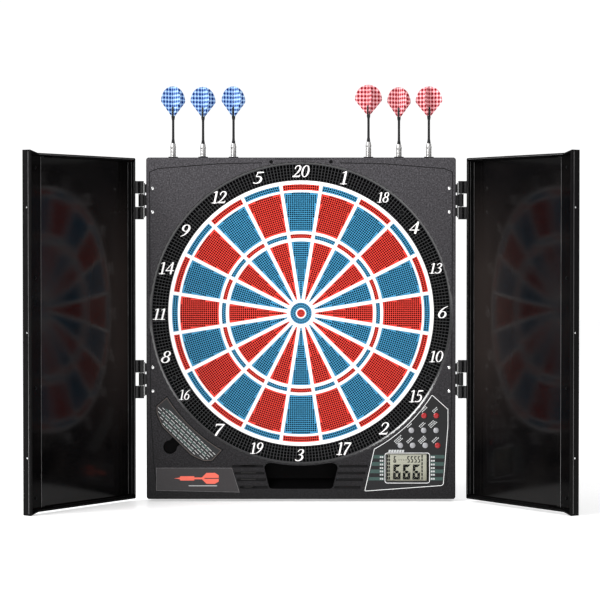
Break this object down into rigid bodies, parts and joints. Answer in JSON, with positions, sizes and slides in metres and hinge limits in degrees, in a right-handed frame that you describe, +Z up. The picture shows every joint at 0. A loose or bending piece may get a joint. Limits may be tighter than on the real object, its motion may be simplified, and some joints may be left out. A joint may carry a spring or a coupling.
{
  "type": "electronic dartboard",
  "caption": "Soft-tip electronic dartboard in a wall cabinet with two swinging doors, score display, push buttons and darts standing in its top.",
  "frame": {"origin": "on the wall plane, on the axis of the bull", "axes": "+X to the right of a person facing the board, +Y into the wall, +Z up; the target faces -Y"},
  "size_m": [0.779, 0.2241, 0.6179],
  "materials": {
    "face_plastic": "fine moulded grain, charcoal",
    "rear_plastic": "fine moulded grain, black",
    "ring_plastic": "perforated, satin black",
    "web_plastic": "smooth white",
    "segment_red": "perforated, satin",
    "segment_blue": "perforated, satin",
    "panel_print": "printed satin panel",
    "menu_print": "printed satin panel",
    "name_plastic": "smooth satin",
    "window_plastic": "clear",
    "display_glass": "liquid crystal, grey-green",
    "circuit_board": "solder mask",
    "dark_rubber": "matte",
    "speaker_cone": "paper cone in a steel basket",
    "membrane_film": "printed film",
    "backing_wood": "hardboard",
    "wire_cover": "insulated leads",
    "battery_case": "wrapped cells",
    "spring_steel": "plated",
    "bright_steel": "bright",
    "dark_steel": "black oxide",
    "black_plastic": "satin",
    "hinge_plastic": "semi-gloss black",
    "door_plastic": "semi-gloss black",
    "door_gloss": "high gloss black",
    "button_red": "glossy",
    "button_grey": "glossy",
    "dart_blue": "steel barrel, black shaft, blue check flight",
    "dart_red": "steel barrel, black shaft, red check flight"
  },
  "bodies": {
    "cabinet": {"backing_board": "backing_wood", "batteries": "battery_case", "battery_contacts": "spring_steel", "body_hinge_leaves": "hinge_plastic", "contact_membrane": "membrane_film", "control_board": "circuit_board", "control_panel_plate": "panel_print", "dark_screws": "dark_steel", "dart_sleeves": "black_plastic", "display_module": "display_glass", "display_window": "window_plastic", "front_frame": "face_plastic", "grip_cups": "face_plastic", "hinge_pins": "bright_steel", "hinge_screws": "bright_steel", "inner_posts": "rear_plastic", "internal_wiring": "wire_cover", "name_plate": "name_plastic", "number_ring": "ring_plastic", "power_jack": "black_plastic", "rear_housing": "rear_plastic", "silicone_mats": "dark_rubber", "speaker": "speaker_cone", "spider_web": "web_plastic", "wall_pads": "dark_rubber"},
    "left_door": {"left_door_grip": "door_plastic", "left_door_hinges": "hinge_plastic", "left_door_magnets": "bright_steel", "left_door_panel": "door_gloss", "left_door_screws": "dark_steel", "left_door_shell": "door_plastic"},
    "right_door": {"right_door_grip": "door_plastic", "right_door_hinges": "hinge_plastic", "right_door_magnets": "bright_steel", "right_door_panel": "door_gloss", "right_door_screws": "dark_steel", "right_door_shell": "door_plastic"},
    "button_bounce": {"button_bounce": "button_grey"},
    "button_double": {"button_double": "button_grey"},
    "button_game": {"button_game": "button_grey"},
    "button_hold": {"button_hold": "button_red"},
    "button_option": {"button_option": "button_grey"},
    "button_player": {"button_player": "button_grey"},
    "button_power": {"button_power": "button_red"},
    "button_sound": {"button_sound": "button_grey"},
    "button_start": {"button_start": "button_red"},
    "double_segments": {"double_segments": "segment_red"},
    "outer_single_segments": {"outer_single_segments": "segment_blue"},
    "triple_segments": {"triple_segments": "segment_red"},
    "inner_single_segments": {"inner_single_segments": "segment_blue"},
    "outer_bull": {"outer_bull": "segment_blue"},
    "inner_bull": {"inner_bull": "segment_red"},
    "dart_left_1": {"dart_left_1": "dart_blue"},
    "dart_left_2": {"dart_left_2": "dart_blue"},
    "dart_left_3": {"dart_left_3": "dart_blue"},
    "dart_right_1": {"dart_right_1": "dart_red"},
    "dart_right_2": {"dart_right_2": "dart_red"},
    "dart_right_3": {"dart_right_3": "dart_red"},
    "menu_plate": {"menu_plate": "menu_print"},
    "battery_door": {"battery_door": "rear_plastic"}
  },
  "joints": [
    {"name": "left_door_hinge", "type": "hinge", "parent": "cabinet", "child": "left_door", "pos_m": [-0.2367, -0.0345, 0.0349], "axis": [0, 0, -1], "range_deg": [-125.5, 54.5]},
    {"name": "right_door_hinge", "type": "hinge", "parent": "cabinet", "child": "right_door", "pos_m": [0.2367, -0.0345, 0.0349], "axis": [0, 0, 1], "range_deg": [-125.5, 54.5]},
    {"name": "button_bounce_press", "type": "slide", "parent": "cabinet", "child": "button_bounce", "axis": [0, 1, 0], "range_m": [0, 0.0009], "stiffness_N_per_m": 300},
    {"name": "button_double_press", "type": "slide", "parent": "cabinet", "child": "button_double", "axis": [0, 1, 0], "range_m": [0, 0.0009], "stiffness_N_per_m": 300},
    {"name": "button_game_press", "type": "slide", "parent": "cabinet", "child": "button_game", "axis": [0, 1, 0], "range_m": [0, 0.0009], "stiffness_N_per_m": 300},
    {"name": "button_hold_press", "type": "slide", "parent": "cabinet", "child": "button_hold", "axis": [0, 1, 0], "range_m": [0, 0.0009], "stiffness_N_per_m": 300},
    {"name": "button_option_press", "type": "slide", "parent": "cabinet", "child": "button_option", "axis": [0, 1, 0], "range_m": [0, 0.0009], "stiffness_N_per_m": 300},
    {"name": "button_player_press", "type": "slide", "parent": "cabinet", "child": "button_player", "axis": [0, 1, 0], "range_m": [0, 0.0009], "stiffness_N_per_m": 300},
    {"name": "button_power_press", "type": "slide", "parent": "cabinet", "child": "button_power", "axis": [0, 1, 0], "range_m": [0, 0.0009], "stiffness_N_per_m": 300},
    {"name": "button_sound_press", "type": "slide", "parent": "cabinet", "child": "button_sound", "axis": [0, 1, 0], "range_m": [0, 0.0009], "stiffness_N_per_m": 300},
    {"name": "button_start_press", "type": "slide", "parent": "cabinet", "child": "button_start", "axis": [0, 1, 0], "range_m": [0, 0.0009], "stiffness_N_per_m": 300},
    {"name": "double_segments_press", "type": "slide", "parent": "cabinet", "child": "double_segments", "axis": [0, 1, 0], "range_m": [0, 0.0015], "stiffness_N_per_m": 2500},
    {"name": "outer_single_segments_press", "type": "slide", "parent": "cabinet", "child": "outer_single_segments", "axis": [0, 1, 0], "range_m": [0, 0.0015], "stiffness_N_per_m": 2500},
    {"name": "triple_segments_press", "type": "slide", "parent": "cabinet", "child": "triple_segments", "axis": [0, 1, 0], "range_m": [0, 0.0015], "stiffness_N_per_m": 2500},
    {"name": "inner_single_segments_press", "type": "slide", "parent": "cabinet", "child": "inner_single_segments", "axis": [0, 1, 0], "range_m": [0, 0.0015], "stiffness_N_per_m": 2500},
    {"name": "outer_bull_press", "type": "slide", "parent": "cabinet", "child": "outer_bull", "axis": [0, 1, 0], "range_m": [0, 0.0015], "stiffness_N_per_m": 600},
    {"name": "inner_bull_press", "type": "slide", "parent": "cabinet", "child": "inner_bull", "axis": [0, 1, 0], "range_m": [0, 0.0015], "stiffness_N_per_m": 600},
    {"name": "dart_left_1_lift", "type": "slide", "parent": "cabinet", "child": "dart_left_1", "axis": [0, 0, 1], "range_m": [0, 0.08]},
    {"name": "dart_left_2_lift", "type": "slide", "parent": "cabinet", "child": "dart_left_2", "axis": [0, 0, 1], "range_m": [0, 0.08]},
    {"name": "dart_left_3_lift", "type": "slide", "parent": "cabinet", "child": "dart_left_3", "axis": [0, 0, 1], "range_m": [0, 0.08]},
    {"name": "dart_right_1_lift", "type": "slide", "parent": "cabinet", "child": "dart_right_1", "axis": [0, 0, 1], "range_m": [0, 0.08]},
    {"name": "dart_right_2_lift", "type": "slide", "parent": "cabinet", "child": "dart_right_2", "axis": [0, 0, 1], "range_m": [0, 0.08]},
    {"name": "dart_right_3_lift", "type": "slide", "parent": "cabinet", "child": "dart_right_3", "axis": [0, 0, 1], "range_m": [0, 0.08]},
    {"name": "menu_plate_lift", "type": "slide", "parent": "cabinet", "child": "menu_plate", "axis": [0, -1, 0], "range_m": [0, 0.02]},
    {"name": "battery_door_lift", "type": "slide", "parent": "cabinet", "child": "battery_door", "axis": [0, 1, 0], "range_m": [0, 0.012]}
  ]
}
